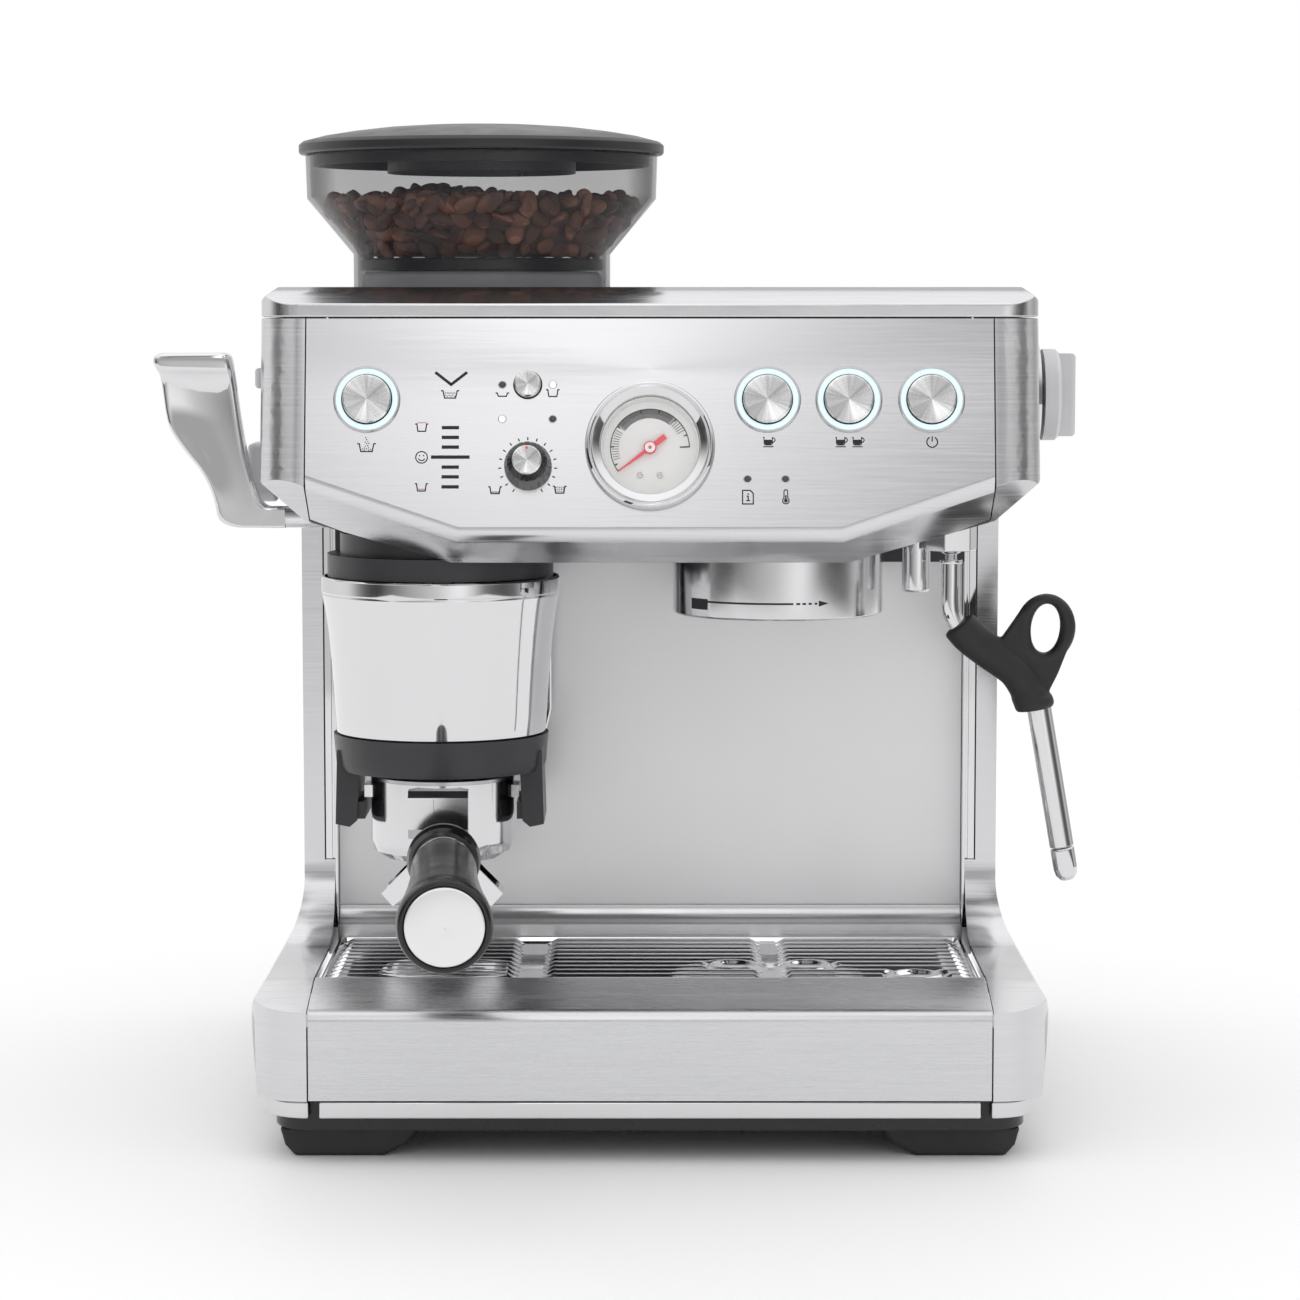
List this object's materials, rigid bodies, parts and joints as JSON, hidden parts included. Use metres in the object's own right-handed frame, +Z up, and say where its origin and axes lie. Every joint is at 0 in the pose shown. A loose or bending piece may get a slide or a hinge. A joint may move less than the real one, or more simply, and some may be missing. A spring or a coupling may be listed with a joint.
{
  "type": "espresso machine",
  "caption": "Counter-top espresso machine with bean hopper, built-in grinder, lever-assisted tamping, pressure gauge, steam wand, spouted filter holder and pull-out drip tray.",
  "frame": {"origin": "bottom centre of the whole machine's bounding box, on the counter", "axes": "+Z up; the controls, filter holder handle and drip tray face -Y; the tamping lever is at -X and the steam wand at +X"},
  "size_m": [0.3792, 0.4495, 0.4148],
  "materials": {
    "brushed_steel": "brushed",
    "chrome": "polished",
    "black_plastic": "satin",
    "charcoal_plastic": "satin",
    "pale_plastic": "satin",
    "rubber": "matt",
    "smoked_clear": "smoked clear plastic",
    "clear": "clear",
    "beans": "oily roasted",
    "light": "lit ring",
    "white_print": "printed dial",
    "red": "satin",
    "cast": "cast",
    "grey_plastic": "satin"
  },
  "bodies": {
    "machine": {"left_side_panel": "brushed_steel", "right_side_panel": "brushed_steel", "front_fascia": "brushed_steel", "head_underpan": "charcoal_plastic", "top_cover": "brushed_steel", "rear_cover": "brushed_steel", "case_screws": "chrome", "cord_gland": "black_plastic", "base_housing": "black_plastic", "rubber_feet": "rubber", "base_trim": "chrome", "backsplash": "chrome", "chassis": "cast", "indicator_lights": "light", "button_rings": "light", "gauge_bezel": "chrome", "gauge_dial": "white_print", "gauge_glass": "clear", "steam_dial_bezel": "chrome", "grinder_housing": "grey_plastic", "tamp_shroud": "chrome", "shroud_backplate": "charcoal_plastic", "portafilter_cradle": "charcoal_plastic", "lever_side_housing": "pale_plastic", "group_head": "chrome", "shower_screen": "brushed_steel", "thermocoil": "cast", "hot_water_spout": "chrome", "steam_nut": "cast"},
    "drip_tray": {"drip_tray_pan": "black_plastic", "drip_tray_front": "brushed_steel"},
    "drip_grid": {"drip_grill": "chrome"},
    "tank": {"water_tank": "clear"},
    "tank_cap": {"tank_lid": "black_plastic"},
    "hopper": {"hopper_body": "smoked_clear", "hopper_gate": "black_plastic", "coffee_beans": "beans"},
    "hopper_cap": {"hopper_lid": "black_plastic"},
    "burr": {"cone_burr": "brushed_steel"},
    "grind_dial": {"grind_size_dial": "pale_plastic"},
    "lever": {"tamp_lever": "chrome", "lever_shaft": "chrome"},
    "tamping_ram": {"tamper": "brushed_steel"},
    "portafilter": {"portafilter_bowl": "chrome", "filter_basket": "brushed_steel", "portafilter_spout": "chrome", "portafilter_handle": "black_plastic", "handle_bright_parts": "chrome"},
    "steam_knob": {"steam_dial": "pale_plastic"},
    "wand_swivel": {"wand_swivel_cup": "chrome"},
    "wand": {"steam_wand": "chrome", "wand_tip": "chrome", "wand_grip": "rubber"},
    "dose_key": {"dose_button": "brushed_steel"},
    "one_cup_key": {"one_cup_button": "brushed_steel"},
    "two_cup_key": {"two_cup_button": "brushed_steel"},
    "power_key": {"power_button": "brushed_steel"},
    "filter_key": {"filter_button": "brushed_steel"},
    "dose_selector": {"manual_dose_knob": "black_plastic"},
    "needle": {"gauge_needle": "red"}
  },
  "joints": [
    {"name": "drip_tray_pull", "type": "slide", "parent": "machine", "child": "drip_tray", "axis": [0, -1, 0], "range_m": [0, 0.15]},
    {"name": "drip_grid_lift", "type": "slide", "parent": "drip_tray", "child": "drip_grid", "axis": [0, 0, 1], "range_m": [0, 0.014]},
    {"name": "tank_lift", "type": "slide", "parent": "machine", "child": "tank", "axis": [0, 0, 1], "range_m": [0, 0.28]},
    {"name": "tank_cap_lift", "type": "slide", "parent": "tank", "child": "tank_cap", "axis": [0, 0, 1], "range_m": [0, 0.06]},
    {"name": "hopper_lift", "type": "slide", "parent": "machine", "child": "hopper", "axis": [0, 0, 1], "range_m": [0, 0.05]},
    {"name": "hopper_cap_lift", "type": "slide", "parent": "hopper", "child": "hopper_cap", "axis": [0, 0, 1], "range_m": [0, 0.05]},
    {"name": "burr_spin", "type": "hinge", "parent": "machine", "child": "burr", "pos_m": [-0.0567, 0.0158, 0.306], "axis": [0, 0, 1], "continuous": true},
    {"name": "grind_size_turn", "type": "hinge", "parent": "machine", "child": "grind_dial", "pos_m": [-0.1412, 0.0378, 0.309], "axis": [1, 0, 0], "range_deg": [-90, 90]},
    {"name": "tamp_lever_swing", "type": "hinge", "parent": "machine", "child": "lever", "pos_m": [-0.1412, -0.0242, 0.253], "axis": [1, 0, 0], "range_deg": [0, 80], "stiffness_Nm_per_rad": 1.2},
    {"name": "tamper_press", "type": "slide", "parent": "machine", "child": "tamping_ram", "axis": [0, 0, -1], "range_m": [0, 0.0241]},
    {"name": "portafilter_pull", "type": "slide", "parent": "machine", "child": "portafilter", "axis": [0, -1, 0], "range_m": [0, 0.16]},
    {"name": "steam_dial_turn", "type": "hinge", "parent": "machine", "child": "steam_knob", "pos_m": [0.1688, -0.0142, 0.303], "axis": [1, 0, 0], "range_deg": [-60, 60]},
    {"name": "wand_turn", "type": "hinge", "parent": "machine", "child": "wand_swivel", "pos_m": [0.1363, -0.0442, 0.245], "axis": [0, 0, 1], "range_deg": [-40, 40]},
    {"name": "wand_tilt", "type": "hinge", "parent": "wand_swivel", "child": "wand", "pos_m": [0.1363, -0.0442, 0.245], "axis": [0, 1, 0], "range_deg": [-14, 8]},
    {"name": "dose_press", "type": "slide", "parent": "machine", "child": "dose_key", "axis": [0, 0.9806, -0.1961], "range_m": [0, 0.0015], "stiffness_N_per_m": 300},
    {"name": "one_cup_press", "type": "slide", "parent": "machine", "child": "one_cup_key", "axis": [0, 0.9806, -0.1961], "range_m": [0, 0.0015], "stiffness_N_per_m": 300},
    {"name": "two_cup_press", "type": "slide", "parent": "machine", "child": "two_cup_key", "axis": [0, 0.9806, -0.1961], "range_m": [0, 0.0015], "stiffness_N_per_m": 300},
    {"name": "power_press", "type": "slide", "parent": "machine", "child": "power_key", "axis": [0, 0.9806, -0.1961], "range_m": [0, 0.0015], "stiffness_N_per_m": 300},
    {"name": "filter_press", "type": "slide", "parent": "machine", "child": "filter_key", "axis": [0, 0.9806, -0.1961], "range_m": [0, 0.0015], "stiffness_N_per_m": 300},
    {"name": "manual_dose_turn", "type": "hinge", "parent": "machine", "child": "dose_selector", "pos_m": [-0.0342, -0.0912, 0.277], "axis": [0, -0.9806, 0.1961], "range_deg": [-135, 135]},
    {"name": "pressure_needle_turn", "type": "hinge", "parent": "machine", "child": "needle", "pos_m": [0.0138, -0.08962, 0.2849], "axis": [0, -0.9806, 0.1961], "range_deg": [-210, 0]}
  ],
  "couplings": [
    {"joint": "tamper_press", "follows": "tamp_lever_swing", "m_per_rad": 0.017}
  ]
}
